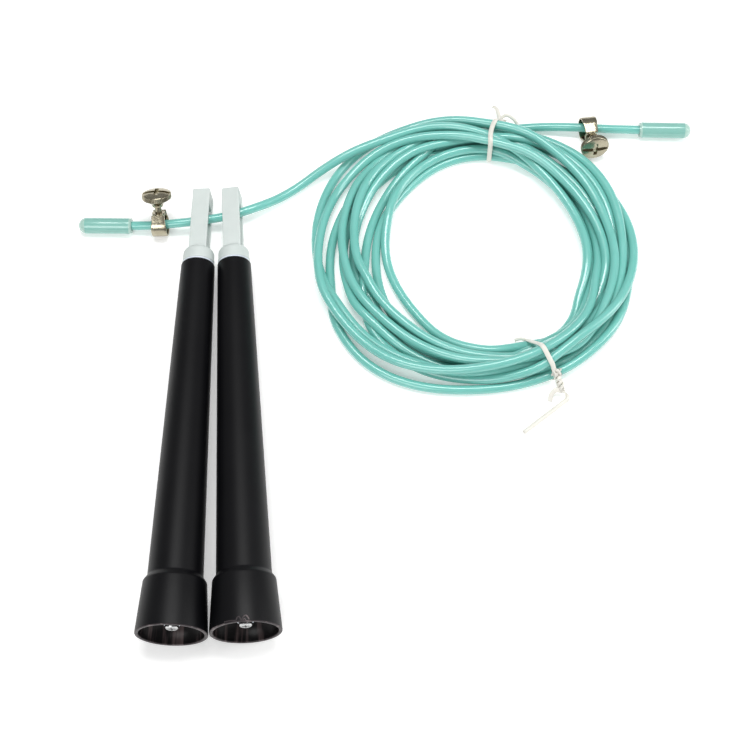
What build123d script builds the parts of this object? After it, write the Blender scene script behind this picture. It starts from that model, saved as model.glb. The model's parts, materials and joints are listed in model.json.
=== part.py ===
from build123d import *
import math
import os

# Speed jump rope: two tapered handles lie side by side, and one plastic cord runs through the
# eyes of both handles, then into a loose coil that two plastic ties hold together.
# Millimetres. +Z up, floor at Z = 0, +Y from the open ends of the handles to their eyes.
# The origin is on the floor, at the middle of the two handles' box.

GAP = 0.25                     # between pieces that turn or slide past each other
RUNNING = 0.05                 # radial clearance of a shaft in its bore

# --- handle: a tube that flares at a step into a cup ---
GRIP_LENGTH = 167.0
THIN_R = 7.33                  # outside radius at the thin end
BODY_R = 11.05                 # outside radius just before the step
CUP_R = 12.65                  # outside radius just after the step
MOUTH_R = 14.25                # outside radius at the open end
STEP_START = 21.1              # from the open end to the step's wide edge
STEP_END = 23.3
WALL = 1.9
EDGE = 0.3                     # small chamfers

# --- bearings, all measured from the open end along the handle ---
BUSH_LENGTH = 14.0
BUSH_R = 5.4
STEM_R = 3.6                   # hollow stem of the head, which turns in the front bush
STEM_LENGTH = 32.0
AXLE_R = 2.0
AXLE_SEAT = 30.0               # length of axle pressed into the stem
SPIDER_START = 8.5             # bearing plate inside the cup
SPIDER_THICK = 3.0
HUB_R = 4.5
HUB_START = 5.2
WASHER_R = 3.4
WASHER_THICK = 0.6
SCREW_HEAD_R = 2.7
SCREW_HEAD_THICK = 1.9
SCREW_SHANK_R = 1.2
SCREW_DEPTH = 9.0
THRUST_R = 6.9
THRUST_THICK = 0.6

# --- head: a collar with a stirrup that the cord runs through ---
HEAD_END = 205.0               # far end of the stirrup, from the open end of the handle
COLLAR_R = 7.0
COLLAR_LENGTH = 8.0
STIRRUP_WIDE = 7.6
STIRRUP_DEEP = 9.6
EYE_HIGH = 5.8                 # gap between the stirrup's two legs
EYE_START = 176.0
EYE_END = 197.4

# --- cord and what is on it ---
CORD_R = 2.0
CAP_R = 3.6
CAP_LENGTH = 23.8
CAP_BORE = 21.0
RING_R = 5.3                   # rope stop: a bent strip with a thumb screw
RING_WALL = 0.8
RING_WIDE = 6.8
PAD_HIGH = 1.6                 # doubled ends of the strip under the screw
PAD_LONG = 6.0
SHANK_R = 1.45
SHANK_START = 3.0              # all measured from the middle of the ring
SHANK_END = 12.0
NECK_START = 7.1
NECK_R = 2.4
RIM_START = 10.9
RIM_R = 6.4
RIM_THICK = 2.3
DOME_HIGH = 0.9
SLOT_WIDE = 1.4
SLOT_DEEP = 1.3

# --- coil of spare cord, as one ring of its outer shape ---
COIL_CENTRE = (107.0, 71.5)
COIL_R = 73.0
HOLE_CENTRE = (114.0, 72.5)
HOLE_SEMI = (41.0, 48.5)
HOLE_TURN = 12.0
COIL_BOTTOM = 0.9
COIL_TOP = 11.6
COIL_EDGE = 3.0
TIE_WIDE = 2.2
TIE_THICK = 0.8
TAIL_R = 0.55

# Where the two handles lie: middle of the open end, heading of the axis, roll of the stirrup.
HANDLES = {
    "left": {"mouth": (-14.4, -102.6), "heading": 0.35, "roll": -4.0},
    "right": {"mouth": (14.4, -101.5), "heading": -4.1, "roll": -6.0},
}

# The cord's route outside the coil, point by point, from each bare end.
LEFT_RUN = [
    (-65.5, 87.0, 3.6), (-40.0, 86.7, 3.6), (-27.5, 86.2, 6.2), (-13.0, 87.9, 6.3),
    (0.0, 90.6, 6.2), (10.5, 95.0, 5.6), (20.5, 101.0, 3.2), (30.0, 108.0, 2.6),
    (40.0, 115.3, 5.2), (51.0, 121.3, 8.4), (61.0, 126.0, 9.4),
]
RIGHT_RUN = [
    (207.4, 137.9, 3.6), (182.0, 138.4, 3.6), (168.5, 138.1, 4.8), (155.5, 139.1, 4.7),
    (141.5, 140.6, 2.7), (127.0, 139.2, 3.0),
]
# Rope stops: middle of the ring and the way its thumb screw points.
STOPS = {
    "left": {"middle": (-31.7, 86.4, 5.5), "screw": (-0.03, 0.545, 0.838), "backed_out": 2.0},
    "right": {"middle": (162.6, 137.8, 5.5), "screw": (0.16, -0.965, 0.208), "backed_out": 0.0},
}


def solid_of_turning(points):
    """A solid turned about Z from an outline of (radius, height) points."""
    outline = make_face(Polyline(*[(r, 0, z) for r, z in points], close=True))
    return revolve(outline, Axis.Z)


def rod(radius, start, end):
    return Pos(0, 0, start) * Cylinder(radius, end - start, align=(Align.CENTER, Align.CENTER, Align.MIN))


def tilt_of_handle():
    """A handle rests on the rim of its cup and on its thin end, so its axis slopes down."""
    return math.degrees(math.asin((MOUTH_R - THIN_R) / GRIP_LENGTH))


def handle_plane(side):
    """Origin in the middle of the open end, Z along the axis to the head, X to the right."""
    lie = HANDLES[side]
    heading, tilt = math.radians(lie["heading"]), math.radians(tilt_of_handle())
    along = (math.sin(heading) * math.cos(tilt), math.cos(heading) * math.cos(tilt), -math.sin(tilt))
    across = (math.cos(heading), -math.sin(heading), 0)
    height = MOUTH_R * math.cos(tilt)
    return Plane(origin=(*lie["mouth"], height), x_dir=across, z_dir=along)


def outside_of_cup(at):
    return MOUTH_R + (CUP_R - MOUTH_R) * at / STEP_START


def grip_shell():
    """Tapered tube with a stepped cup, a ledge for the bearing plate and a seat for the bush."""
    ledge = SPIDER_START + SPIDER_THICK
    bush_at = GRIP_LENGTH - BUSH_LENGTH
    return solid_of_turning([
        (MOUTH_R - EDGE, 0), (MOUTH_R, EDGE), (CUP_R, STEP_START), (BODY_R, STEP_END),
        (THIN_R, GRIP_LENGTH - EDGE), (THIN_R - EDGE, GRIP_LENGTH),
        (BUSH_R, GRIP_LENGTH), (BUSH_R, bush_at), (BUSH_R - 0.8, bush_at),
        (BUSH_R - 0.8, bush_at - 4), (BODY_R - WALL, STEP_END), (BODY_R - WALL, ledge),
        (outside_of_cup(ledge) - WALL, ledge), (MOUTH_R - WALL, 0),
    ])


def front_bush():
    start, end = GRIP_LENGTH - BUSH_LENGTH, GRIP_LENGTH
    return rod(BUSH_R, start, end) - rod(STEM_R + RUNNING, start, end)


def bearing_plate():
    """Plate across the cup with a hub that the axle turns in, and six holes to save weight."""
    end = SPIDER_START + SPIDER_THICK
    plate = solid_of_turning([
        (0, SPIDER_START), (outside_of_cup(SPIDER_START) - WALL, SPIDER_START),
        (outside_of_cup(end) - WALL, end), (0, end),
    ])
    plate += rod(HUB_R, HUB_START, end)
    plate -= rod(AXLE_R + RUNNING, HUB_START, end)
    hole_circle = (HUB_R + outside_of_cup(end) - WALL) / 2
    for turn in range(6):
        plate -= Rot(0, 0, 60 * turn) * Pos(hole_circle, 0, 0) * rod(1.6, SPIDER_START, end)
    return plate


def thrust_washer():
    start = GRIP_LENGTH + GAP
    return rod(THRUST_R, start, start + THRUST_THICK) - rod(STEM_R, start, start + THRUST_THICK)


def axle():
    end = axle_seat_end()
    start = HUB_START - GAP - WASHER_THICK
    return rod(AXLE_R, start, end) - rod(SCREW_SHANK_R, start, start + SCREW_DEPTH)


def axle_seat_end():
    return GRIP_LENGTH + GAP + THRUST_THICK - STEM_LENGTH + AXLE_SEAT


def rear_washer():
    end = HUB_START - GAP
    return rod(WASHER_R, end - WASHER_THICK, end) - rod(AXLE_R, end - WASHER_THICK, end)


def end_screw():
    """Pan head screw with a cross recess, in the tapped end of the axle."""
    seat = HUB_START - GAP - WASHER_THICK
    head = rod(SCREW_HEAD_R, seat - SCREW_HEAD_THICK, seat)
    head = fillet(head.edges().group_by(Axis.Z)[0], 0.8)
    recess = Pos(0, 0, seat - SCREW_HEAD_THICK) * (Box(2.8, 0.6, 1.6) + Box(0.6, 2.8, 1.6))
    return head + rod(SCREW_SHANK_R, seat, seat + SCREW_DEPTH - 1) - recess


def swivel_head(side):
    """Collar, hollow stem and stirrup in one moulding."""
    base = GRIP_LENGTH + GAP + THRUST_THICK
    collar = solid_of_turning([
        (0, base), (COLLAR_R, base), (COLLAR_R, base + 1.5), (COLLAR_R - 0.4, base + 4.2),
        (COLLAR_R - 1.2, base + 6.6), (COLLAR_R - 2.2, base + COLLAR_LENGTH), (0, base + COLLAR_LENGTH),
    ])
    stirrup_long = HEAD_END - base - 2
    stirrup = Pos(0, 0, HEAD_END - stirrup_long / 2) * Box(STIRRUP_WIDE, STIRRUP_DEEP, stirrup_long)
    stirrup = fillet(stirrup.edges().filter_by(Axis.Z), 0.7)
    stirrup = fillet(stirrup.faces().sort_by(Axis.Z)[-1].edges(), 0.6)
    eye_long = EYE_END - EYE_START
    eye = Box(STIRRUP_WIDE + 4, EYE_HIGH, eye_long)
    eye = fillet(eye.edges().filter_by(Axis.X), 1.2)
    head = collar + stirrup - Pos(0, 0, EYE_START + eye_long / 2) * eye
    head = Rot(0, 0, HANDLES[side]["roll"]) * head
    head += rod(STEM_R, base - STEM_LENGTH, base)
    return head - rod(AXLE_R, base - STEM_LENGTH, axle_seat_end())


def bend_radii(points):
    """Each bend's radius: as large as its two runs allow."""
    radii = []
    for a, b, c in zip(points, points[1:], points[2:]):
        into, out = Vector(*b) - Vector(*a), Vector(*c) - Vector(*b)
        half_turn = math.radians(into.get_angle(out)) / 2
        radii.append(0.45 * min(into.length, out.length) / math.tan(half_turn))
    return radii


def cord_tube(name, points):
    radii = bend_radii(points)
    path = FilletPolyline(*points, radius=radii)
    start = Vector(*points[0])
    tube = sweep(Plane(origin=start, z_dir=Vector(*points[1]) - start) * Circle(CORD_R), path=path)
    print(name, "radii", [round(r) for r in radii], "length", round(path.length, 1))
    print(name, "volume over section times length", tube.volume / (math.pi * CORD_R**2 * path.length))
    return tube


def hole_outline():
    return Pos(*HOLE_CENTRE) * Rot(0, 0, HOLE_TURN) * Ellipse(*HOLE_SEMI)


def cord_coil():
    ring = Pos(*COIL_CENTRE) * Circle(COIL_R) - hole_outline()
    ring = Pos(0, 0, COIL_BOTTOM) * extrude(ring, COIL_TOP - COIL_BOTTOM)
    return fillet(ring.edges(), COIL_EDGE)


def tie_band(inner, outer):
    """Flat band in an upright plane round the coil, from a point in the hole to one outside."""
    inside, outside = Vector(*inner, 0), Vector(*outer, 0)
    middle = (inside + outside) / 2 + Vector(0, 0, (COIL_TOP + COIL_BOTTOM) / 2)
    plane = Plane(origin=middle, x_dir=outside - inside, z_dir=(outside - inside).cross(Vector(0, 0, 1)))
    wide, high = (outside - inside).length, COIL_TOP - COIL_BOTTOM
    band = RectangleRounded(wide + 2 * TIE_THICK, high + 2 * TIE_THICK, 3.4)
    band -= RectangleRounded(wide, high, 2.6)
    return plane * extrude(band, TIE_WIDE / 2, both=True)


def tie_tail(points):
    start = Vector(*points[0])
    path = FilletPolyline(*points, radius=1.2)
    return sweep(Plane(origin=start, z_dir=Vector(*points[1]) - start) * Circle(TAIL_R), path=path)


def top_tie():
    knot = Pos(124.2, 144.0, 8.8) * Sphere(2.3)
    ear = tie_tail([(124.0, 144.5, 8.8), (123.0, 149.5, 7.0), (121.5, 151.5, 5.0)])
    tail = tie_tail([(124.5, 144.5, 8.8), (129.0, 145.6, 8.0), (132.0, 143.4, 6.4)])
    return tie_band((117.5, 121.4), (123.0, 142.8)) + knot + ear + tail


def bottom_tie():
    knot = Pos(143.3, 9.6, 6.6) * Sphere(2.3)
    twist = Pos(143.6, 6.6, 3.4) * Sphere(1.7)
    tail = tie_tail([(143.5, 9.0, 6.0), (143.8, 5.4, 1.6), (145.2, 3.6, 0.9), (126.6, -12.4, 0.8)])
    return tie_band((130.6, 27.2), (142.4, 9.6)) + knot + twist + tail


def stop_plane(side):
    """Origin in the middle of the ring, Z along the thumb screw, X along the cord."""
    stop = STOPS[side]
    return Plane(origin=stop["middle"], x_dir=(1, 0, 0), z_dir=stop["screw"])


def stop_ring():
    """Strip bent round the cord; its doubled ends make a pad that the screw threads through."""
    ring = Cylinder(RING_R, RING_WIDE) - Cylinder(RING_R - RING_WALL, RING_WIDE)
    ring = Rot(0, 90, 0) * ring
    pad_middle = RING_R - RING_WALL + PAD_HIGH / 2
    pad = Pos(0, 0, pad_middle) * Box(RING_WIDE, PAD_LONG, PAD_HIGH)
    return ring + pad - rod(SHANK_R + RUNNING, 2, 10)


def stop_shank():
    return rod(SHANK_R, SHANK_START, SHANK_END)


def stop_knob():
    """Knurled knob: a cone up to a rim with a slightly domed, slotted face."""
    rim_end = RIM_START + RIM_THICK
    knob = solid_of_turning([
        (0, NECK_START), (NECK_R, NECK_START), (NECK_R + 0.4, NECK_START + 1.2),
        (RIM_R - 0.5, RIM_START), (RIM_R, RIM_START + 0.2), (RIM_R, rim_end - 0.3),
        (RIM_R - 0.6, rim_end + 0.1), (RIM_R - 3, rim_end + DOME_HIGH - 0.2), (0, rim_end + DOME_HIGH),
    ])
    slot = Pos(0, 0, rim_end + DOME_HIGH) * Box(2 * RIM_R, SLOT_WIDE, 2 * SLOT_DEEP)
    return knob - slot - rod(SHANK_R + RUNNING, NECK_START, SHANK_END + GAP)


def end_cap(points):
    """Soft cap with a round tip, pushed over the bare end of the cord."""
    tip, inward = Vector(*points[0]), (Vector(*points[1]) - Vector(*points[0])).normalized()
    cap = rod(CAP_R, CAP_R, CAP_LENGTH) + Pos(0, 0, CAP_R) * Sphere(CAP_R)
    cap = cap - rod(CORD_R + RUNNING, CAP_LENGTH - CAP_BORE, CAP_LENGTH)
    mouth_edges = cap.edges().group_by(Axis.Z)[-1]
    cap = chamfer(mouth_edges.sort_by(SortBy.RADIUS)[-1:], 0.4)
    floor_of_bore = tip - inward * (CAP_LENGTH - CAP_BORE)
    return Plane(origin=floor_of_bore, z_dir=inward) * cap


def build():
    nodes = {}
    for side in HANDLES:
        plane = handle_plane(side)
        pieces = {
            "grip_shell": grip_shell(), "front_bush": front_bush(), "bearing_plate": bearing_plate(),
            "thrust_washer": thrust_washer(), "swivel_head": swivel_head(side), "axle": axle(),
            "rear_washer": rear_washer(), "end_screw": end_screw(),
        }
        for name, piece in pieces.items():
            nodes[f"{side}_{name}"] = plane * piece
    for side in STOPS:
        plane = stop_plane(side)
        out = Pos(0, 0, STOPS[side]["backed_out"])
        pieces = {"ring": stop_ring(), "screw": out * stop_shank(), "knob": out * stop_knob()}
        for name, piece in pieces.items():
            nodes[f"{side}_stop_{name}"] = plane * piece
    nodes["left_end_cap"] = end_cap(LEFT_RUN)
    nodes["right_end_cap"] = end_cap(RIGHT_RUN)
    nodes["cord_left_run"] = cord_tube("cord_left_run", LEFT_RUN)
    nodes["cord_right_run"] = cord_tube("cord_right_run", RIGHT_RUN)
    nodes["cord_coil"] = cord_coil()
    nodes["coil_tie_top"] = top_tie()
    nodes["coil_tie_bottom"] = bottom_tie()
    return nodes


os.makedirs("parts", exist_ok=True)
for node, shape in build().items():
    export_step(shape, f"parts/{node}.step")
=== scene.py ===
import json
import math

import bmesh
import bpy
import numpy as np
from mathutils import Matrix, Vector, geometry


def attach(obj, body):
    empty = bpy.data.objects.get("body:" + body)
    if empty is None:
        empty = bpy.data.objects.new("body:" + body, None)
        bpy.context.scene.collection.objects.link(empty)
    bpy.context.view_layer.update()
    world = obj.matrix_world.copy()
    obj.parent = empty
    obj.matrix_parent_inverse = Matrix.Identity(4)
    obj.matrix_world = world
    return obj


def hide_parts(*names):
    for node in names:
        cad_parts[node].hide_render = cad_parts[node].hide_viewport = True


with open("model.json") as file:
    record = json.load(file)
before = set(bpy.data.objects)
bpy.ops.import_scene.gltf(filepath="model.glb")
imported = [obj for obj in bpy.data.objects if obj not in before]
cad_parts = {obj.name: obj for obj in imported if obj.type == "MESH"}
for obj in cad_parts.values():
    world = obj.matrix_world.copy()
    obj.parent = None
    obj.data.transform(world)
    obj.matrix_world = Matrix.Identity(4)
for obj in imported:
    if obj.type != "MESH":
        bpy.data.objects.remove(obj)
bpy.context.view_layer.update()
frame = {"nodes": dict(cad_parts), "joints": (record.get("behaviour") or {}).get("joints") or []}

MM = 0.001
SIDES = ("left", "right")
JOINTS = {joint["name"]: joint for joint in frame["joints"]}

# ---------------------------------------------------------------- cord route, in millimetres
CORD = 4.0
LEFT_RUN = [
    (-65.5, 87.0, 3.6), (-40.0, 86.7, 3.6), (-27.5, 86.2, 6.2), (-13.0, 87.9, 6.3),
    (0.0, 90.6, 6.2), (10.5, 95.0, 5.6), (20.5, 101.0, 3.2), (30.0, 108.0, 2.6),
    (40.0, 115.3, 5.2), (51.0, 121.3, 8.4), (61.0, 126.0, 9.4),
]
RIGHT_RUN = [
    (207.4, 137.9, 3.6), (182.0, 138.4, 3.6), (168.5, 138.1, 4.8), (155.5, 139.1, 4.7),
    (141.5, 140.6, 2.7), (127.0, 139.2, 3.0),
]

# The loose turns of the coil, from the left run to the right one, clockwise seen from above.
# Each turn has (distance from the coil's middle, layer) at eight bearings: 135, 90, 45, 0,
# -45, -90, -135 and -180 degrees. A higher layer lies over a lower one.
COIL_MIDDLE = (109.0, 72.0)
TURNS = [
    [(73.0, 3), (61.0, 2), (50.2, 1), (49.6, 1), (53.0, 0), (48.8, 1), (39.2, 0), (40.0, 0)],
    [(47.3, 1), (55.0, 1), (52.0, 0), (50.5, 0), (55.0, 1), (49.5, 0), (48.0, 0), (44.5, 0)],
    [(46.0, 0), (53.0, 0), (56.0, 0), (54.3, 0), (57.0, 2), (59.4, 2), (66.4, 2), (70.2, 1)],
    [(68.0, 2), (57.0, 2), (54.0, 1), (57.0, 1), (57.0, 0), (51.3, 1), (47.4, 1), (53.5, 1)],
    [(60.6, 1), (63.0, 1), (58.2, 1), (58.4, 0), (59.0, 1), (59.2, 1), (63.0, 1), (70.6, 0)],
    [(75.6, 0), (67.0, 2), (62.2, 1), (60.8, 1), (63.0, 1), (55.2, 1), (52.8, 1), (59.0, 1)],
    [(64.8, 1), (67.3, 1), (69.0, 1), (64.8, 1), (61.0, 0), (53.3, 0), (52.0, 0), (54.2, 0)],
    [(58.0, 1), (59.0, 1), (66.6, 1), (62.5, 0), (65.0, 0), (57.2, 0), (57.0, 1), (59.2, 0)],
    [(57.5, 0), (57.0, 0), (61.5, 0), (68.0, 0), (66.8, 1), (65.0, 0), (71.8, 0), (65.0, 0)],
    [(62.0, 0), (61.0, 0), (68.2, 0), (69.8, 1), (61.3, 2), (60.6, 0), (60.4, 0), (49.3, 0)],
    [(51.5, 0), (65.5, 0)],
]
FIRST_BEARING = 135.0
SPACING = 45.0                   # between the bearings of the list
FINE = 5.0                       # between the points that settle
EVERY = 2                        # of these points, one in so many guides the cord
LEAD_IN = 20                     # degrees of the first turn that LEFT_RUN has already drawn

# How the turns settle on each other, round by round
ROUNDS = 90
NEIGHBOURS = 12                  # points this close along the cord never push each other
PUSH = 0.3                       # share of each overlap that one round takes away
STRAIGHTEN = 0.06                # share of each hump that one round takes away
SINK = 0.01                      # how far the cord sinks in one round

TOP_TIE_BEARING = 81.5
BOTTOM_TIE_BEARING = -63.5
TIE_WIDE = 2.2
TIE_THICK = 0.75


# ---------------------------------------------------------------- small helpers
def linear(hex_colour):
    """An sRGB hex colour as the linear colour that shaders take."""
    channels = [int(hex_colour[i:i + 2], 16) / 255 for i in (1, 3, 5)]
    return (*[c / 12.92 if c <= 0.04045 else ((c + 0.055) / 1.055) ** 2.4 for c in channels], 1)


def add(tree, kind, inputs=None, **settings):
    """Adds a node. An input's value is a number, a colour or another node's socket."""
    made = tree.nodes.new(kind)
    for name, value in settings.items():
        setattr(made, name, value)
    for name, value in (inputs or {}).items():
        if isinstance(value, bpy.types.NodeSocket):
            tree.links.new(value, made.inputs[name])
        else:
            made.inputs[name].default_value = value
    return made


def material_tree(name):
    """A new material and its empty node tree."""
    material = bpy.data.materials.new(name)
    material.use_nodes = True
    material.node_tree.nodes.clear()
    return material, material.node_tree


def close(tree, surface):
    """Sends a shader to the material's output."""
    add(tree, "ShaderNodeOutputMaterial", {"Surface": surface.outputs[0]})


def mesh_object(name, bm):
    """A smooth-shaded object from mesh data, which is used up."""
    bmesh.ops.recalc_face_normals(bm, faces=bm.faces)
    mesh = bpy.data.meshes.new(name)
    bm.to_mesh(mesh)
    bm.free()
    mesh.polygons.foreach_set("use_smooth", [True] * len(mesh.polygons))
    piece = bpy.data.objects.new(name, mesh)
    bpy.context.scene.collection.objects.link(piece)
    return piece


def place(piece, matrix):
    """Moves a piece modelled in millimetres into its place, which stays in its mesh."""
    piece.data.transform(matrix @ Matrix.Scale(MM, 4))
    piece.data.update()
    return piece


def paint(piece, material):
    """Gives a piece one material and no other."""
    piece.data.materials.clear()
    piece.data.materials.append(material)
    return piece


def apply_modifiers(piece):
    """Turns a piece with its modifiers into a plain mesh."""
    graph = bpy.context.evaluated_depsgraph_get()
    mesh = bpy.data.meshes.new_from_object(piece.evaluated_get(graph), depsgraph=graph)
    piece.modifiers.clear()
    piece.data = mesh
    return piece


def round_edges(piece, width, segments=3, angle=35.0):
    """Bevels the edges that turn by more than the angle."""
    bevel = piece.modifiers.new("rounded edges", "BEVEL")
    bevel.width = width
    bevel.segments = segments
    bevel.limit_method = "ANGLE"
    bevel.angle_limit = math.radians(angle)
    bevel.harden_normals = False
    return apply_modifiers(piece)


def flatten_shading(piece, angle):
    """Smooth shading that leaves the large faces flat."""
    piece.data.polygons.foreach_set("use_smooth", [True] * len(piece.data.polygons))
    piece.data.set_sharp_from_angle(angle=math.radians(angle))
    weighted = piece.modifiers.new("flat faces", "WEIGHTED_NORMAL")
    weighted.keep_sharp = True
    weighted.weight = 80
    return apply_modifiers(piece)


def turned(name, outline, segments=96):
    """A piece turned about Z from a closed outline of (radius, height) points."""
    bm = bmesh.new()
    rings = []
    for radius, height in outline:
        if radius < 1e-6:
            rings.append([bm.verts.new((0, 0, height))])
            continue
        turns = [2 * math.pi * k / segments for k in range(segments)]
        rings.append([
            bm.verts.new((radius * math.cos(turn), radius * math.sin(turn), height)) for turn in turns])
    for one, two in zip(rings, rings[1:] + rings[:1]):
        if len(one) == 1 and len(two) == 1:
            continue
        for k in range(segments):
            after = (k + 1) % segments
            corners = [
                one[k % len(one)], one[after % len(one)], two[after % len(two)], two[k % len(two)]]
            bm.faces.new(list(dict.fromkeys(corners)))
    return mesh_object(name, bm)


def softened(outline, size, steps=4):
    """The outline with its corners rounded, where (radius, height, True) marks a corner to round."""
    reach = 0.45                 # of the shorter side, at most
    rounded = []
    count = len(outline)
    for k, point in enumerate(outline):
        corner = Vector(point[:2])
        if len(point) < 3:
            rounded.append(tuple(corner))
            continue
        before = Vector(outline[k - 1][:2]) - corner
        after = Vector(outline[(k + 1) % count][:2]) - corner
        start = corner + before.normalized() * min(size, before.length * reach)
        end = corner + after.normalized() * min(size, after.length * reach)
        for step in range(steps + 1):
            t = step / steps
            rounded.append(tuple(start * (1 - t) ** 2 + corner * 2 * t * (1 - t) + end * t ** 2))
    return rounded


def join(pieces):
    """One mesh from several, under the first one's name."""
    bm = bmesh.new()
    for piece in pieces:
        bm.from_mesh(piece.data)
    joined = mesh_object(pieces[0].name + "_joined", bm)
    name = pieces[0].name
    for piece in pieces:
        bpy.data.objects.remove(piece)
    joined.name = name
    return joined


# ---------------------------------------------------------------- materials
def cord_pvc():
    """Plasticised PVC, extruded: glossy skin over a slightly milky teal body."""
    material, tree = material_tree("plasticised_pvc_cord")
    place_of = add(tree, "ShaderNodeTexCoord").outputs["Object"]
    cloud = add(tree, "ShaderNodeTexNoise", {"Vector": place_of, "Scale": 1 / (12 * MM), "Detail": 3.0})
    colour = add(tree, "ShaderNodeMix", {
        "Factor": cloud.outputs["Fac"], "A": linear("#6EBAAF"), "B": linear("#7AC3BA")},
        data_type="RGBA")
    # the die leaves shallow waves about 2 mm long
    waves = add(tree, "ShaderNodeTexNoise", {"Vector": place_of, "Scale": 1 / (2 * MM), "Detail": 2.0})
    bump = add(tree, "ShaderNodeBump", {
        "Height": waves.outputs["Fac"], "Strength": 0.12, "Distance": 0.05 * MM})
    gloss = add(tree, "ShaderNodeMapRange", {
        "Value": cloud.outputs["Fac"], "To Min": 0.16, "To Max": 0.24})
    skin = add(tree, "ShaderNodeBsdfPrincipled", {
        "Base Color": colour.outputs["Result"], "Roughness": gloss.outputs["Result"], "IOR": 1.53,
        "Coat Weight": 0.5, "Coat Roughness": 0.08, "Subsurface Weight": 0.25,
        "Subsurface Radius": (0.6, 1.0, 0.9), "Subsurface Scale": 1.2 * MM,
        "Normal": bump.outputs["Normal"]})
    close(tree, skin)
    return material


def vinyl(name, low, high, subsurface):
    """Dip-moulded soft vinyl, smooth and glossy, with the slight unevenness of a dipped skin."""
    material, tree = material_tree(name)
    place_of = add(tree, "ShaderNodeTexCoord").outputs["Object"]
    cloud = add(tree, "ShaderNodeTexNoise", {"Vector": place_of, "Scale": 1 / (6 * MM), "Detail": 2.0})
    colour = add(tree, "ShaderNodeMix", {
        "Factor": cloud.outputs["Fac"], "A": linear(low), "B": linear(high)}, data_type="RGBA")
    bump = add(tree, "ShaderNodeBump", {
        "Height": cloud.outputs["Fac"], "Strength": 0.1, "Distance": 0.1 * MM})
    skin = add(tree, "ShaderNodeBsdfPrincipled", {
        "Base Color": colour.outputs["Result"], "Roughness": 0.16, "IOR": 1.5, "Coat Weight": 0.4,
        "Subsurface Weight": subsurface, "Subsurface Radius": (0.8, 1.0, 0.95),
        "Subsurface Scale": 0.8 * MM, "Normal": bump.outputs["Normal"]})
    close(tree, skin)
    return material


def black_abs():
    """ABS from a finely blasted mould: satin black, uneven in gloss, with a few pale specks."""
    material, tree = material_tree("satin_black_abs")
    place_of = add(tree, "ShaderNodeTexCoord").outputs["Object"]
    # the blasted grain is about 0.35 mm
    grain = add(tree, "ShaderNodeTexNoise", {
        "Vector": place_of, "Scale": 1 / (0.35 * MM), "Detail": 2.0})
    handling = add(tree, "ShaderNodeTexNoise", {
        "Vector": place_of, "Scale": 1 / (22 * MM), "Detail": 5.0})
    specks = add(tree, "ShaderNodeTexVoronoi", {"Vector": place_of, "Scale": 1 / (7 * MM)})
    dust = add(tree, "ShaderNodeMapRange", {
        "Value": specks.outputs["Distance"], "From Min": 0.0, "From Max": 0.03,
        "To Min": 0.3, "To Max": 0.0})
    base = add(tree, "ShaderNodeMix", {
        "Factor": handling.outputs["Fac"], "A": linear("#050507"), "B": linear("#0A0A0D")},
        data_type="RGBA")
    colour = add(tree, "ShaderNodeMix", {
        "Factor": dust.outputs["Result"], "A": base.outputs["Result"], "B": linear("#5A5C60")},
        data_type="RGBA")
    gloss = add(tree, "ShaderNodeMapRange", {
        "Value": handling.outputs["Fac"], "To Min": 0.36, "To Max": 0.5})
    bump = add(tree, "ShaderNodeBump", {
        "Height": grain.outputs["Fac"], "Strength": 0.12, "Distance": 0.04 * MM})
    skin = add(tree, "ShaderNodeBsdfPrincipled", {
        "Base Color": colour.outputs["Result"], "Roughness": gloss.outputs["Result"], "IOR": 1.54,
        "Specular IOR Level": 0.16, "Normal": bump.outputs["Normal"]})
    close(tree, skin)
    return material


def abs_painted_streaks(name, low, high):
    """The same ABS, smooth, with painted reflection streaks: lighter stripes along it mixed into its
    colour.
    """
    material, tree = material_tree(name)
    place_of = add(tree, "ShaderNodeTexCoord").outputs["Object"]
    stretched = add(tree, "ShaderNodeMapping", {"Vector": place_of, "Scale": (1.0, 0.04, 1.0)})
    # painted reflection streaks about 3 mm apart run the length of the bore; the same noise gives a
    # faint bump
    lines = add(tree, "ShaderNodeTexNoise", {
        "Vector": stretched.outputs["Vector"], "Scale": 1 / (3.0 * MM), "Detail": 3.0})
    painted_streaks = add(tree, "ShaderNodeMapRange", {
        "Value": lines.outputs["Fac"], "From Min": 0.52, "From Max": 0.66, "To Min": 0.0, "To Max": 1.0})
    colour = add(tree, "ShaderNodeMix", {
        "Factor": painted_streaks.outputs["Result"], "A": linear(low), "B": linear(high)},
        data_type="RGBA")
    bump = add(tree, "ShaderNodeBump", {
        "Height": lines.outputs["Fac"], "Strength": 0.25, "Distance": 0.05 * MM})
    skin = add(tree, "ShaderNodeBsdfPrincipled", {
        "Base Color": colour.outputs["Result"], "Roughness": 0.34, "IOR": 1.54,
        "Specular IOR Level": 0.14, "Normal": bump.outputs["Normal"]})
    close(tree, skin)
    return material


def moulded_nylon(name, low, high, roughness):
    """Natural nylon, moulded: milky and matte, faintly green in its depth."""
    material, tree = material_tree(name)
    place_of = add(tree, "ShaderNodeTexCoord").outputs["Object"]
    cloud = add(tree, "ShaderNodeTexNoise", {"Vector": place_of, "Scale": 1 / (6 * MM), "Detail": 4.0})
    grain = add(tree, "ShaderNodeTexNoise", {"Vector": place_of, "Scale": 1 / (0.5 * MM), "Detail": 2.0})
    colour = add(tree, "ShaderNodeMix", {
        "Factor": cloud.outputs["Fac"], "A": linear(low), "B": linear(high)}, data_type="RGBA")
    bump = add(tree, "ShaderNodeBump", {
        "Height": grain.outputs["Fac"], "Strength": 0.15, "Distance": 0.05 * MM})
    skin = add(tree, "ShaderNodeBsdfPrincipled", {
        "Base Color": colour.outputs["Result"], "Roughness": roughness, "IOR": 1.53,
        "Subsurface Weight": 0.2, "Subsurface Radius": (0.9, 1.0, 0.95), "Subsurface Scale": 1.5 * MM,
        "Normal": bump.outputs["Normal"]})
    close(tree, skin)
    return material


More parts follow.
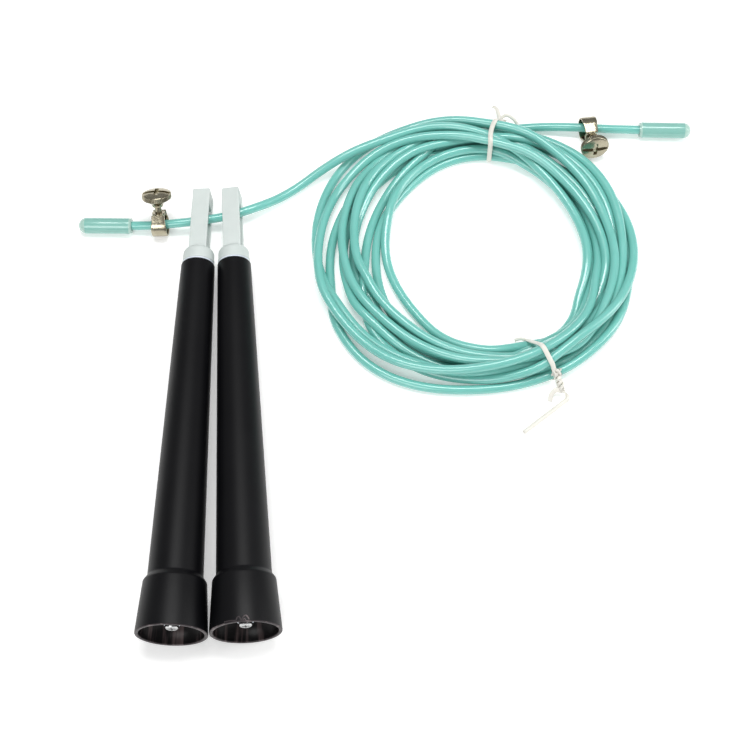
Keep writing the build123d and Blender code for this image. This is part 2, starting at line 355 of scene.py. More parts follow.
def plated(name, low, high, roughness_low, roughness_high):
    """Barrel-plated metal: bright, with soft dents and a stained, uneven gloss."""
    material, tree = material_tree(name)
    place_of = add(tree, "ShaderNodeTexCoord").outputs["Object"]
    stain = add(tree, "ShaderNodeTexNoise", {"Vector": place_of, "Scale": 1 / (3 * MM), "Detail": 5.0})
    dents = add(tree, "ShaderNodeTexNoise", {"Vector": place_of, "Scale": 1 / (1.6 * MM), "Detail": 1.0})
    colour = add(tree, "ShaderNodeMix", {
        "Factor": stain.outputs["Fac"], "A": linear(low), "B": linear(high)}, data_type="RGBA")
    gloss = add(tree, "ShaderNodeMapRange", {
        "Value": stain.outputs["Fac"], "To Min": roughness_low, "To Max": roughness_high})
    bump = add(tree, "ShaderNodeBump", {
        "Height": dents.outputs["Fac"], "Strength": 0.45, "Distance": 0.12 * MM})
    skin = add(tree, "ShaderNodeBsdfPrincipled", {
        "Base Color": colour.outputs["Result"], "Roughness": gloss.outputs["Result"], "Metallic": 1.0,
        "Normal": bump.outputs["Normal"]})
    close(tree, skin)
    return material


def tie_plastic():
    """Polyethylene over a wire: white, waxy, a little translucent at its edges."""
    material, tree = material_tree("coated_wire_tie")
    place_of = add(tree, "ShaderNodeTexCoord").outputs["Object"]
    cloud = add(tree, "ShaderNodeTexNoise", {"Vector": place_of, "Scale": 1 / (2.5 * MM), "Detail": 3.0})
    colour = add(tree, "ShaderNodeMix", {
        "Factor": cloud.outputs["Fac"], "A": linear("#D8D5CC"), "B": linear("#E6E4DC")},
        data_type="RGBA")
    bump = add(tree, "ShaderNodeBump", {
        "Height": cloud.outputs["Fac"], "Strength": 0.3, "Distance": 0.12 * MM})
    skin = add(tree, "ShaderNodeBsdfPrincipled", {
        "Base Color": colour.outputs["Result"], "Roughness": 0.38, "IOR": 1.51,
        "Subsurface Weight": 0.25, "Subsurface Radius": (1.0, 1.0, 0.95), "Subsurface Scale": 1 * MM,
        "Normal": bump.outputs["Normal"]})
    close(tree, skin)
    return material


PVC = cord_pvc()
VINYL = vinyl("clear_vinyl_over_cord", "#7DB5AA", "#8ABDB3", 0.1)
VINYL_CLEAR = vinyl("clear_vinyl_alone", "#9FC3B8", "#AFCEC4", 0.3)
ABS = black_abs()
# the bore: black with painted pinkish reflection streaks
ABS_BORE_PAINTED_STREAKS = abs_painted_streaks("black_abs_painted_streaks", "#080607", "#4A3E3E")
# the rim's top and the torn flakes: a lighter grey-brown that is painted sheen of light on the rounded
# edge, with painted streaks too
ABS_RIM_PAINTED_SHEEN = abs_painted_streaks("rim_abs_painted_sheen", "#3A3436", "#6A6061")
NYLON = moulded_nylon("natural_nylon_head", "#C2CBC8", "#CFD6D3", 0.5)
WASHER = moulded_nylon("blue_white_nylon_washer", "#D5DFEC", "#E4ECF5", 0.35)
NICKEL = plated("warm_nickel_plate", "#8B846F", "#BDB6A2", 0.12, 0.34)
ZINC = plated("bright_zinc_plate", "#B9BABA", "#DADBDB", 0.15, 0.35)
TIE = tie_plastic()


# ---------------------------------------------------------------- cord
def cubic(before, start, end, after, t):
    """A smooth value between start and end, as a Catmull-Rom curve gives it."""
    return 0.5 * (2 * start + (end - before) * t + (2 * before - 5 * start + 4 * end - after) * t ** 2
                  + (3 * start - before - 3 * end + after) * t ** 3)


def coil_lanes():
    """The coil's fine points: bearing, distance from the middle and layer."""
    flat = [pair for turn in TURNS for pair in turn]
    steps = round(SPACING / FINE)
    lanes = []
    for k in range(len(flat) - 1):
        near = [flat[max(k - 1, 0)], flat[k], flat[k + 1], flat[min(k + 2, len(flat) - 1)]]
        for step in range(steps):
            t = step / steps
            distance = cubic(*[pair[0] for pair in near], t)
            layer = flat[k][1] * (1 - t) + flat[k + 1][1] * t
            lanes.append((FIRST_BEARING - FINE * (k * steps + step), distance, layer))
    return np.array(lanes)


def stacked_heights(lanes):
    """Each bearing's cross-section is stacked like pipes, from the lowest layer up."""
    per_turn = round(360 / FINE)
    heights = np.full(len(lanes), CORD / 2)
    for section in range(per_turn):
        members = list(range(section, len(lanes), per_turn))
        members.sort(key=lambda i: (round(lanes[i, 2], 2), i))
        placed = []
        for i in members:
            for j in placed:
                apart = abs(lanes[i, 1] - lanes[j, 1])
                if apart < CORD:
                    heights[i] = max(heights[i], heights[j] + math.sqrt(CORD ** 2 - apart ** 2))
            placed.append(i)
    return heights


def smoothed(values, passes):
    """The values, each drawn towards the mean of its neighbours."""
    for _ in range(passes):
        values[1:-1] = (values[:-2] + 2 * values[1:-1] + values[2:]) / 4
    return values


def settle(points):
    """Pushes turns that lie in each other apart, and keeps the cord smooth and on the floor."""
    count = len(points)
    index = np.arange(count)
    far_along = np.abs(index[:, None] - index[None, :]) > NEIGHBOURS
    for _ in range(ROUNDS):
        gap = points[:, None, :] - points[None, :, :]
        apart = np.linalg.norm(gap, axis=2) + 1e-6
        deep = np.where(far_along & (apart < CORD), CORD - apart, 0)
        push = (gap / apart[:, :, None] * deep[:, :, None]).sum(axis=1) * PUSH
        push = smoothed(push, passes=2)
        push[0] = push[-1] = 0
        points = points + push
        hump = points[:-2, 2] + points[2:, 2] - 2 * points[1:-1, 2]
        points[1:-1, 2] += STRAIGHTEN * hump - SINK
        points[:, 2] = np.maximum(points[:, 2], CORD / 2)
    return points


def coil_points():
    """The loose turns as points along the cord, lying on the floor and on each other."""
    lanes = coil_lanes()
    heights = smoothed(stacked_heights(lanes), passes=6)
    bearing = np.radians(lanes[:, 0])
    points = np.stack([
        COIL_MIDDLE[0] + lanes[:, 1] * np.cos(bearing),
        COIL_MIDDLE[1] + lanes[:, 1] * np.sin(bearing), heights], axis=1)
    return settle(points)


COIL = coil_points()


def cord_route():
    """The few points that guide the whole cord, end to end."""
    skip = round(LEAD_IN / FINE)
    turns = [tuple(point) for point in COIL[skip:-1:EVERY]]
    return LEFT_RUN + turns + RIGHT_RUN[::-1]


def cord():
    """The whole cord as one smooth line, from its left end to its right one."""
    route = [Vector(point) * MM for point in cord_route()]
    curve = bpy.data.curves.new("cord", "CURVE")
    curve.dimensions = "3D"
    curve.bevel_depth = CORD / 2 * MM
    curve.bevel_resolution = 6
    curve.resolution_u = 5
    curve.use_fill_caps = True
    spline = curve.splines.new("NURBS")
    spline.points.add(len(route) - 1)
    for point, where in zip(spline.points, route):
        point.co = (*where, 1)
    spline.order_u = 3
    spline.use_endpoint_u = True
    piece = bpy.data.objects.new("cord", curve)
    bpy.context.scene.collection.objects.link(piece)
    paint(piece, PVC)
    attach(piece, "rope")
    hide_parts("cord_left_run", "cord_right_run", "cord_coil")
    return piece, sum((b - a).length for a, b in zip(route, route[1:]))


# ---------------------------------------------------------------- flat strands
OVAL = 14                        # points round the section of a flat strand
RIB_HIGH, RIB_HALF = 0.35, 0.45  # the wire's rib, as shares of half the thickness and half the width


def ribbon(points, flats, half_wide=TIE_WIDE / 2, half_thick=TIE_THICK / 2, closed=False):
    """Mesh data of a flat tie: an oval section whose wide way follows the flats at each point."""
    bm = bmesh.new()
    rings = []
    count = len(points)
    for k, (point, flat) in enumerate(zip(points, flats)):
        if closed:
            along = points[(k + 1) % count] - points[k - 1]
        else:
            along = points[min(k + 1, count - 1)] - points[max(k - 1, 0)]
        wide = (flat - along.normalized() * flat.dot(along.normalized())).normalized()
        thick = along.normalized().cross(wide)
        ring = []
        for step in range(OVAL):
            turn = 2 * math.pi * step / OVAL
            rib = RIB_HIGH * max(0.0, 1 - (math.cos(turn) / RIB_HALF) ** 2)
            aside = wide * half_wide * math.cos(turn)
            ring.append(bm.verts.new(point + aside + thick * half_thick * (1 + rib) * math.sin(turn)))
        rings.append(ring)
    pairs = list(zip(rings, rings[1:]))
    if closed:
        pairs.append((rings[-1], rings[0]))
    for one, two in pairs:
        for k in range(OVAL):
            after = (k + 1) % OVAL
            bm.faces.new((one[k], one[after], two[after], two[k]))
    if not closed:
        bm.faces.new(rings[0])
        bm.faces.new(rings[-1][::-1])
    return bm


def curve_points(points, steps=6):
    """A smooth line through a few points."""
    points = [Vector(point) for point in points]
    line = []
    for k in range(len(points) - 1):
        near = [points[max(k - 1, 0)], points[k], points[k + 1], points[min(k + 2, len(points) - 1)]]
        line += [cubic(*near, step / steps) for step in range(steps)]
    return line + [points[-1]]


# ---------------------------------------------------------------- handles
GRIP_LENGTH = 167.0
CUP_RADIUS = 14.25                # at the mouth
CUP_TAPER = 1.6 / 21.1            # how much of it is lost for each millimetre along the cup
GRIP_FINISHES = (ABS, ABS_BORE_PAINTED_STREAKS, ABS_RIM_PAINTED_SHEEN)
BORE, RIM = 1, 2                  # places in the list; the outside has the first


def handle_matrix(side):
    """From a handle's own frame to the part's: Z along it from its open end, X across it."""
    joint = JOINTS[f"{side}_grip_spin"]
    along = Vector(joint["axis"]).normalized()
    across = Vector((along.y, -along.x, 0)).normalized()
    turn = Matrix((across, along.cross(across), along)).transposed().to_4x4()
    return Matrix.Translation(Vector(joint["pos_m"]) - along * GRIP_LENGTH * MM) @ turn


def torn_edge():
    """Flakes torn up from the top of a cup's rim: raised loops on the outside, one over the mouth."""
    # each point's distance to the side of the top, and back from the mouth
    loops = [
        [(-2.7, 0.3), (-2.3, 1.4), (-1.6, 2.0), (-1.0, 1.3), (-0.7, 0.4)],
        [(-0.5, 0.4), (0.1, 1.6), (1.1, 2.3), (2.0, 1.5), (2.4, 0.5)],
        [(0.0, 0.4), (0.6, 1.0), (1.2, 0.4)],
        [(-7.6, 0.8), (-5.2, 0.8), (-2.9, 0.6)],
    ]
    strands = []
    for loop in loops:
        line = []
        for point in curve_points([(aside, back, 0) for aside, back in loop]):
            lift = min(0.1, 0.11 * point.y - 0.13)
            radius = CUP_RADIUS - CUP_TAPER * point.y + lift
            turn = point.x / CUP_RADIUS
            line.append(Vector((radius * math.sin(turn), -radius * math.cos(turn), point.y)))
        last = len(line) - 1
        flats = []
        for k, point in enumerate(line):
            along = line[min(k + 1, last)] - line[max(k - 1, 0)]
            flats.append(along.cross(Vector((point.x, point.y, 0))))
        strands.append(ribbon(line, flats, half_wide=0.26, half_thick=0.08))
    hanging = curve_points([
        (-1.7, -13.0, 0.1), (-1.1, -12.1, -0.25), (0.0, -12.6, -0.3), (1.0, -12.0, -0.3),
        (1.9, -12.9, 0.1)])
    flats = [Vector((0, 1, 0.3))] * len(hanging)
    strands.append(ribbon(hanging, flats, half_wide=0.45, half_thick=0.12))
    flakes = [mesh_object("flake", strand) for strand in strands]
    # the flakes take the rim's material, with its painted sheen
    for flake in flakes:
        flake.data.polygons.foreach_set("material_index", [RIM] * len(flake.data.polygons))
    return flakes


def grip(side):
    """Tapered tube that flares at a step into a cup; its bore has painted reflection streaks and its rim
    a painted sheen.
    """
    step_radius, step_start, cup_end, bore_radius = 12.65, 21.1, 23.4, 9.15
    floor_at, stem_bore, rim_deep = 11.7, 5.45, 0.3
    outside = softened([
        (12.75, 0.0, True), (CUP_RADIUS, 0.0, True), (step_radius, step_start, True),
        (11.05, 23.3, True), (7.33, GRIP_LENGTH, True), (stem_bore, GRIP_LENGTH),
    ], 0.55)
    inside = softened([
        (stem_bore, 153.0), (4.6, 153.0), (4.6, 149.0), (bore_radius, cup_end),
        (bore_radius, floor_at), (11.45, floor_at, True),
    ], 0.5)
    shell = turned(f"{side}_grip", outside + inside, segments=128)
    for face in shell.data.polygons:
        at = face.center
        facing_in = face.normal.dot(at * Vector((1, 1, 0))) < 0
        on_floor = math.hypot(at.x, at.y) < 11.5 and at.z < floor_at + 0.3
        # the rim's top takes a painted sheen; the bore's faces take painted reflection streaks
        if at.z < rim_deep:
            face.material_index = RIM
        elif at.z < cup_end + 0.6 and (facing_in or on_floor):
            face.material_index = BORE
    if side == "right":
        shell = join([shell] + torn_edge())
    for finish in GRIP_FINISHES:
        shell.data.materials.append(finish)
    place(shell, handle_matrix(side))
    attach(shell, f"{side}_grip")
    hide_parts(f"{side}_grip_shell")
    return shell


def head(side, roll):
    """Collar and stirrup in one soft-edged moulding; its eye takes the cord."""
    base, end = 167.85, 205.0
    eye_start, eye_end, eye_half = 176.0, 197.4, 2.9
    half_wide, half_deep = 3.8, 4.8
    collar_radius, collar_high = 7.0, 7.4
    collar = turned("collar", softened([
        (0.0, base), (collar_radius, base, True), (collar_radius, base + 1.5), (6.9, base + 1.7),
        (6.8, base + 5.4, True), (5.2, base + 7.0, True), (4.2, base + collar_high),
        (0.0, base + collar_high),
    ], 1.2), segments=96)
    bm = bmesh.new()
    outer = [(-half_deep, base + 2), (half_deep, base + 2), (half_deep, end), (-half_deep, end)]
    inner = [(-eye_half, eye_start), (eye_half, eye_start), (eye_half, eye_end), (-eye_half, eye_end)]
    sides = []
    for x in (-half_wide, half_wide):
        sides.append([[bm.verts.new((x, y, z)) for y, z in ring] for ring in (outer, inner)])
    (outer_a, inner_a), (outer_b, inner_b) = sides
    for k in range(4):
        after = (k + 1) % 4
        bm.faces.new((outer_a[k], outer_a[after], inner_a[after], inner_a[k]))
        bm.faces.new((outer_b[after], outer_b[k], inner_b[k], inner_b[after]))
        bm.faces.new((outer_a[after], outer_a[k], outer_b[k], outer_b[after]))
        bm.faces.new((inner_a[k], inner_a[after], inner_b[after], inner_b[k]))
    stirrup = round_edges(mesh_object("stirrup", bm), 0.5, segments=4)
    union = collar.modifiers.new("one moulding", "BOOLEAN")
    union.operation = "UNION"
    union.object = stirrup
    apply_modifiers(collar)
    bpy.data.objects.remove(stirrup)
    collar.name = f"{side}_head"
    place(collar, handle_matrix(side) @ Matrix.Rotation(math.radians(roll), 4, "Z"))
    flatten_shading(collar, angle=50)
    paint(collar, NYLON)
    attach(collar, f"{side}_head")
    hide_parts(f"{side}_swivel_head")
    return collar


# ---------------------------------------------------------------- rope stops
BACKED_OUT = {"left": 2.0, "right": 0.0}     # how far each thumb screw stands out, in millimetres


def stop_matrix(side):
    """From a stop's own frame to the part's: Z along its thumb screw, X along the cord."""
    joint = JOINTS[f"{side}_knob_turn"]
    along = Vector(joint["axis"]).normalized()
    across = Vector((1, 0, 0))
    across = (across - along * across.dot(along)).normalized()
    turn = Matrix((across, along.cross(across), along)).transposed().to_4x4()
    return Matrix.Translation(joint["pos_m"]) @ turn


def stop_strap(side):
    """Spring strip bent round the cord; its two ends lie flat together under the screw."""
    wall, radius = 0.8, 4.9
    first, swept, steps = 52, 256, 28            # the bend, in degrees from the screw
    end_aside, end_high = 2.9, 5.75
    half_long, narrowed, narrow_from = 3.4, 0.55, 0.72
    bend = [math.radians(first + swept * k / steps) for k in range(steps + 1)]
    outline = [(-end_aside, end_high)]
    outline += [(-radius * math.sin(turn), radius * math.cos(turn)) for turn in bend]
    outline += [(end_aside, end_high)]
    bm = bmesh.new()
    rows = []
    count = len(outline)
    for k, (y, z) in enumerate(outline):
        share = abs(2 * k / (count - 1) - 1)
        half = half_long - narrowed * max(0.0, share - narrow_from) / (1 - narrow_from)
        rows.append([bm.verts.new((x * half, y, z)) for x in (-1, -0.5, 0, 0.5, 1)])
    for one, two in zip(rows, rows[1:]):
        for k in range(4):
            bm.faces.new((one[k], one[k + 1], two[k + 1], two[k]))
    strap = mesh_object(f"{side}_stop_strap", bm)
    thick = strap.modifiers.new("strip", "SOLIDIFY")
    thick.thickness = wall
    thick.offset = 0
    apply_modifiers(strap)
    round_edges(strap, 0.22, segments=3, angle=50)
    hole, edge, low, high = 1.6, 2.9, 4.6, 6.1
    pad = turned("pad", softened([
        (hole, low), (edge, low, True), (edge, high, True), (hole, high)], 0.35), segments=48)
    strap = join([strap, pad])
    place(strap, stop_matrix(side))
    paint(strap, NICKEL)
    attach(strap, f"{side}_stop")
    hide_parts(f"{side}_stop_ring")
    return strap


def knurl_tree():
    """Geometry nodes: one ridge for each tooth, set round a rim."""
    tree = bpy.data.node_groups.new("knurled rim", "GeometryNodeTree")
    sockets = tree.interface
    for name, value in (("Radius", 6.2), ("Height", 2.1), ("Ridge", 0.42)):
        made = sockets.new_socket(name, in_out="INPUT", socket_type="NodeSocketFloat")
        made.default_value = value
    made = sockets.new_socket("Teeth", in_out="INPUT", socket_type="NodeSocketInt")
    made.default_value = 56
    sockets.new_socket("Material", in_out="INPUT", socket_type="NodeSocketMaterial")
    sockets.new_socket("Geometry", in_out="OUTPUT", socket_type="NodeSocketGeometry")
    given = add(tree, "NodeGroupInput").outputs
    circle = add(tree, "GeometryNodeMeshCircle", {"Vertices": given["Teeth"], "Radius": given["Radius"]})
    out = add(tree, "GeometryNodeInputPosition")
    facing = add(tree, "FunctionNodeAlignRotationToVector", {"Vector": out.outputs[0]}, axis="X")
    size = add(tree, "ShaderNodeCombineXYZ", {
        "X": given["Ridge"], "Y": given["Ridge"], "Z": given["Height"]})
    ridge = add(tree, "GeometryNodeMeshCylinder", {"Vertices": 6, "Radius": 1.0, "Depth": 1.0})
    ridges = add(tree, "GeometryNodeInstanceOnPoints", {
        "Points": circle.outputs["Mesh"], "Instance": ridge.outputs["Mesh"],
        "Rotation": facing.outputs["Rotation"], "Scale": size.outputs["Vector"]})
    real = add(tree, "GeometryNodeRealizeInstances", {"Geometry": ridges.outputs["Instances"]})
    finished = add(tree, "GeometryNodeSetMaterial", {
        "Geometry": real.outputs["Geometry"], "Material": given["Material"]})
    add(tree, "NodeGroupOutput", {"Geometry": finished.outputs["Geometry"]})
    return tree


def grown(name, tree, **values):
    """A plain mesh from a node tree and its named inputs."""
    piece = bpy.data.objects.new(name, bpy.data.meshes.new(name))
    bpy.context.scene.collection.objects.link(piece)
    modifier = piece.modifiers.new(name, "NODES")
    modifier.node_group = tree
    inputs = {item.name: item.identifier for item in tree.interface.items_tree if item.in_out == "INPUT"}
    for label, value in values.items():
        modifier[inputs[label]] = value
    return apply_modifiers(piece)


KNURL = knurl_tree()


def stop_knob(side):
    """Thumb knob: cone, knurled rim and a domed face with a slot and a crossing nick."""
    face_top = 14.15
    slots = ((14.0, 1.9, 1.3, 0.0), (6.6, 1.7, 1.2, 90.0))   # length, width, depth and direction
    knob = turned(f"{side}_stop_knob_body", softened([
        (0.0, 7.1), (2.4, 7.1, True), (2.7, 8.2), (3.4, 9.1), (5.9, 10.8, True), (6.15, 11.0, True),
        (6.15, 13.0, True), (5.7, 13.35, True), (3.6, 13.95), (1.9, 14.1), (0.0, face_top),
    ], 0.25), segments=112)
    for long, wide, deep, turn in slots:
        bm = bmesh.new()
        bmesh.ops.create_cube(bm, size=1.0)
        cutter = mesh_object("slot", bm)
        cutter.data.transform(
            Matrix.Translation((0, 0, face_top)) @ Matrix.Rotation(math.radians(turn), 4, "Z")
            @ Matrix.Diagonal((long, wide, 2 * deep, 1)))
        cut = knob.modifiers.new("slot", "BOOLEAN")
        cut.operation = "DIFFERENCE"
        cut.object = cutter
        apply_modifiers(knob)
        bpy.data.objects.remove(cutter)
    teeth = grown("knurl", KNURL, Radius=6.1, Height=1.9, Ridge=0.34, Teeth=56)
    teeth.data.transform(Matrix.Translation((0, 0, 12.05)))
    knob = join([knob, teeth])
    knob.name = f"{side}_stop_thumb_knob"
    place(knob, stop_matrix(side) @ Matrix.Translation((0, 0, BACKED_OUT[side] * MM)))
    knob.data.set_sharp_from_angle(angle=math.radians(40))
    paint(knob, NICKEL)
    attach(knob, f"{side}_knob")
    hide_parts(f"{side}_stop_knob")
    return knob


# ---------------------------------------------------------------- end caps
def end_cap(side, run):
    """Dipped cap with a round tip and a slightly rolled mouth."""
    tip, inward = Vector(run[0]), (Vector(run[1]) - Vector(run[0])).normalized()
    length, radius, bore, floor_at = 23.8, 3.55, 2.06, 2.9
    covered, lip = 21.0, 1.2         # how much cord is inside, and how long the rolled mouth is
    steps = 10                       # round the tip
    tip_turns = [math.pi / 2 * k / steps for k in range(steps + 1)]
    outline = [(radius * math.sin(turn), radius - radius * math.cos(turn)) for turn in tip_turns]
    outline += [(radius, 12.0), (radius - 0.05, length - 2 * lip), (radius + 0.03, length - lip)]
    outline += softened([(radius, length, True), (bore, length, True)], 0.3)
    outline += [(bore, floor_at), (0.0, floor_at)]
    cap = turned(f"{side}_soft_cap", outline, segments=64)
    cap.data.materials.append(VINYL)
    cap.data.materials.append(VINYL_CLEAR)
    tip_end = length - covered
    for face in cap.data.polygons:
        over_cord = tip_end < face.center.z < length - lip
        face.material_index = 0 if over_cord else 1
    across = Vector((0, 0, 1)).cross(inward).normalized()
    turn = Matrix((across, inward.cross(across), inward)).transposed().to_4x4()
    place(cap, Matrix.Translation((tip - inward * tip_end) * MM) @ turn)
    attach(cap, f"{side}_cap")
    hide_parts(f"{side}_end_cap")
    return cap


# ---------------------------------------------------------------- ties
def bundle_section(bearing):
    """Where the cord's passes cross an upright plane through the coil's middle: (distance, height)."""
    section = []
    relative = COIL - np.array([*COIL_MIDDLE, 0])
    angles = np.degrees(np.unwrap(np.arctan2(relative[:, 1], relative[:, 0])))
    wanted = bearing
    while wanted > angles.min():
        for k in range(len(angles) - 1):
            if angles[k] >= wanted > angles[k + 1]:
                t = (angles[k] - wanted) / (angles[k] - angles[k + 1])
                point = relative[k] * (1 - t) + relative[k + 1] * t
                section.append((math.hypot(point[0], point[1]), point[2]))
        wanted -= 360
    return section


def tie_band(name, bearing, bow=0.0, lean=0.0):
    """A closed band drawn tight round the bundle; it bows sideways in its middle and leans outside."""
    around = []
    slack, steps = 0.1, 16
    reach = CORD / 2 + TIE_THICK / 2 + slack
    for distance, height in bundle_section(bearing):
        for step in range(steps):
            turn = 2 * math.pi * step / steps
            around.append(Vector((distance + reach * math.cos(turn), height + reach * math.sin(turn))))
    hull = [around[k] for k in geometry.convex_hull_2d(around)]
    lengths = [(hull[k] - hull[k - 1]).length for k in range(len(hull))]
    total, count = sum(lengths), 72
    even = []
    for step in range(count):
        left = total * step / count
        for k in range(len(hull)):
            if left <= lengths[k]:
                even.append(hull[k - 1].lerp(hull[k], left / lengths[k]))
                break
            left -= lengths[k]
    angle = math.radians(bearing)
    out = Vector((math.cos(angle), math.sin(angle), 0))
    side = Vector((-math.sin(angle), math.cos(angle), 0))
    middle = Vector((*COIL_MIDDLE, 0))
    inner, outer = min(p.x for p in even), max(p.x for p in even)
    points = []
    for p in even:
        share = (p.x - inner) / (outer - inner)
        aside = side * (bow * 4 * share * (1 - share) + lean * share)
        points.append(middle + out * p.x + aside + Vector((0, 0, max(p.y, TIE_THICK / 2))))
    for _ in range(2):
        points = [(points[k - 1] + points[k] * 2 + points[(k + 1) % count]) / 4 for k in range(count)]
    return mesh_object(name, ribbon(points, [side] * count, closed=True)), points


def tie_strand(points, flats_from, flats_to, taper=1.0):
    """A loose end of a tie through a few points; its flat side turns from one way to another."""
    line = curve_points(points)
    count = len(line)
    flats = [Vector(flats_from).lerp(Vector(flats_to), k / (count - 1)) for k in range(count)]
    return mesh_object("strand", ribbon(line, flats, half_wide=TIE_WIDE / 2 * taper))


def tie_twist(start, end, radius, turns):
    """The two ends of a tie wound round each other."""
    steps = 12 * turns
    start, end = Vector(start), Vector(end)
    along = (end - start).normalized()
    one = along.orthogonal().normalized()
    two = along.cross(one)
    strands = []
    for first in (0, math.pi):
        line, flats = [], []
        for k in range(steps + 1):
            t = k / steps
            turn = first + 2 * math.pi * turns * t
            out = one * math.cos(turn) + two * math.sin(turn)
            line.append(start.lerp(end, t) + out * radius * (0.75 + 0.25 * math.sin(math.pi * t)))
            flats.append(along.cross(out) + along * 0.6)
        strands.append(mesh_object("strand", ribbon(line, flats, half_wide=0.85)))
    return strands


def finish_tie(pieces, name, node):
    """One piece from a tie's band, twists and ends."""
    tie = join(pieces)
    tie.name = name
    place(tie, Matrix.Identity(4))
    paint(tie, TIE)
    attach(tie, "rope")
    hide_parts(node)
    return tie


def top_tie():
    """The tie at the top of the coil, with a short ear and a longer end."""
    band, points = tie_band("top_tie", TOP_TIE_BEARING, bow=1.6, lean=-1.8)
    outer = max(points, key=lambda p: (p - Vector((*COIL_MIDDLE, p.z))).length)
    knot = outer + Vector((0.8, 1.4, 1.8))
    pieces = [band]
    pieces += tie_twist(knot + Vector((-1.6, -1.6, 0.4)), knot + Vector((2.8, -1.4, -0.2)), 1.1, 1)
    ear = [knot, knot + Vector((-0.6, 3.2, 0.6)), knot + Vector((-1.2, 6.0, 0.2)),
           knot + Vector((-2.6, 8.2, -1.2))]
    loop = [knot + Vector((0.4, 0.2, 0)), knot + Vector((2.8, 1.9, 0.9)), knot + Vector((6.2, 0.4, 0.3)),
            knot + Vector((9.0, -2.6, -1.6))]
    pieces.append(tie_strand(ear, (1, 0, 0), (1, 0.3, 0.4), taper=0.85))
    pieces.append(tie_strand(loop, (0.2, 0.9, 0.6), (0.3, 0.9, 0.6), taper=0.7))
    return finish_tie(pieces, "coil_top_tie", "coil_tie_top")


def bottom_tie():
    """The tie at the lower right of the coil, with a hook and a long tail on the floor."""
    band, points = tie_band("bottom_tie", BOTTOM_TIE_BEARING, bow=-0.8, lean=2.2)
    outer = max(points, key=lambda p: (p - Vector((*COIL_MIDDLE, p.z))).length)
    knot = Vector((outer.x - 0.2, outer.y + 0.6, 6.2))
    foot = Vector((143.8, 6.2, 2.8))
    pieces = [band]
    pieces += tie_twist(knot + Vector((-1.9, 0.2, 0.8)), knot + Vector((1.9, 0.8, 0.6)), 1.2, 1)
    pieces += tie_twist(knot + Vector((0.0, 0.6, 0.2)), foot, 1.1, 2)
    hook = [foot, foot + Vector((-2.6, 0.0, 0.8)), foot + Vector((-4.6, -1.6, 0.2)),
            foot + Vector((-5.4, -4.4, -1.4))]
    tail = [foot, Vector((145.6, 5.2, 1.6)), Vector((146.0, 3.3, 1.2)), Vector((143.6, 1.2, 1.0)),
            Vector((135.0, -5.6, 0.9)), Vector((126.8, -12.2, 0.9))]
    pieces.append(tie_strand(hook, (0.2, 1, 0.5), (-1, 0.4, 0.5), taper=1.0))
    pieces.append(tie_strand(tail, (0.66, -0.73, 0.15), (0.66, -0.73, 0.15), taper=0.9))
    inner = min(points, key=lambda p: (p - Vector((*COIL_MIDDLE, p.z))).length)
    stub = [inner, inner + Vector((-2.6, 0.6, 0.4)), inner + Vector((-5.4, 0.4, -0.6))]
    pieces.append(tie_strand(stub, (0, 0.5, 1), (0, 0.8, 0.6), taper=0.7))
    return finish_tie(pieces, "coil_bottom_tie", "coil_tie_bottom")


# ---------------------------------------------------------------- floor, light and camera
FLOOR_WIDE = 6.0                              # metres
LIT_MIDDLE = (0.06, 0.05, 0)                  # where the lamps point
WORLD_STRENGTH = 0.35
FOCAL_LENGTH, SENSOR = 69.6, 36.0
CAMERA_PLACE = (0.06425, -0.248, 0.5637)
CAMERA_TILT = 25                              # degrees from straight down


def floor():
    """A pale sheet, a little brighter than its light makes it."""
    bpy.ops.mesh.primitive_plane_add(size=FLOOR_WIDE)
    plane = bpy.context.object
    plane.name = "floor"
    material, tree = material_tree("pale_floor")
    close(tree, add(tree, "ShaderNodeBsdfPrincipled", {
        "Base Color": linear("#F4F4F3"), "Roughness": 0.8,
        "Emission Color": linear("#FFFFFF"), "Emission Strength": 0.3}))
    paint(plane, material)


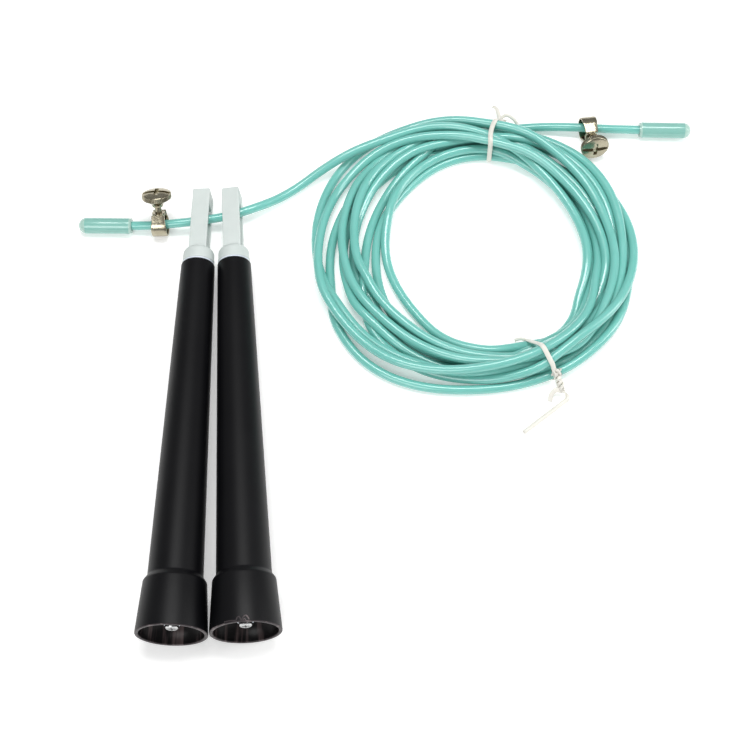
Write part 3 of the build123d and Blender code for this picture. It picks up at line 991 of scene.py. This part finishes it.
def light(name, where, towards, power, size):
    """A soft lamp of the given power in watts and size in metres."""
    lamp = bpy.data.lights.new(name, "AREA")
    lamp.energy = power
    lamp.shape = "RECTANGLE"
    lamp.size, lamp.size_y = size
    holder = bpy.data.objects.new(name, lamp)
    bpy.context.scene.collection.objects.link(holder)
    holder.location = where
    holder.rotation_euler = (Vector(towards) - Vector(where)).to_track_quat("-Z", "Y").to_euler()


def studio():
    """Soft light from above, in front and the right."""
    world = bpy.data.worlds.new("studio")
    bpy.context.scene.world = world
    world.use_nodes = True
    world.node_tree.nodes["Background"].inputs["Color"].default_value = linear("#FAFBFC")
    world.node_tree.nodes["Background"].inputs["Strength"].default_value = WORLD_STRENGTH
    light("overhead softbox", (0.1, 0.35, 1.3), LIT_MIDDLE, 11.0, (0.9, 0.35))
    light("front fill", (-0.4, -0.9, 0.9), LIT_MIDDLE, 7.0, (0.7, 0.7))
    light("side strip", (1.1, 0.1, 0.6), LIT_MIDDLE, 5.0, (0.2, 1.0))
    bpy.context.scene.view_settings.view_transform = "Standard"


def camera():
    lens = bpy.data.cameras.new("camera")
    lens.lens = FOCAL_LENGTH
    lens.sensor_width = SENSOR
    holder = bpy.data.objects.new("camera", lens)
    bpy.context.scene.collection.objects.link(holder)
    holder.location = CAMERA_PLACE
    holder.rotation_euler = (math.radians(CAMERA_TILT), 0, 0)
    bpy.context.scene.camera = holder


# ---------------------------------------------------------------- the object
HEAD_ROLL = {"left": -4.0, "right": -6.0}     # degrees about the handle
# the nodes that keep their plain shape, with their finishes
CAD_FINISHES = {
    "front_bush": NYLON, "bearing_plate": ABS, "thrust_washer": WASHER, "axle": ZINC,
    "rear_washer": WASHER, "end_screw": ZINC, "stop_screw": NICKEL,
}

camera()
studio()
floor()
cord_piece, route_length = cord()
on_cord = []
for side in SIDES:
    grip(side)
    head(side, HEAD_ROLL[side])
    for node, finish in CAD_FINISHES.items():
        paint(frame["nodes"][f"{side}_{node}"], finish)
    on_cord += [stop_strap(side), stop_knob(side), frame["nodes"][f"{side}_stop_screw"]]
on_cord += [end_cap("left", LEFT_RUN), end_cap("right", RIGHT_RUN), top_tie(), bottom_tie()]

bpy.context.view_layer.update()
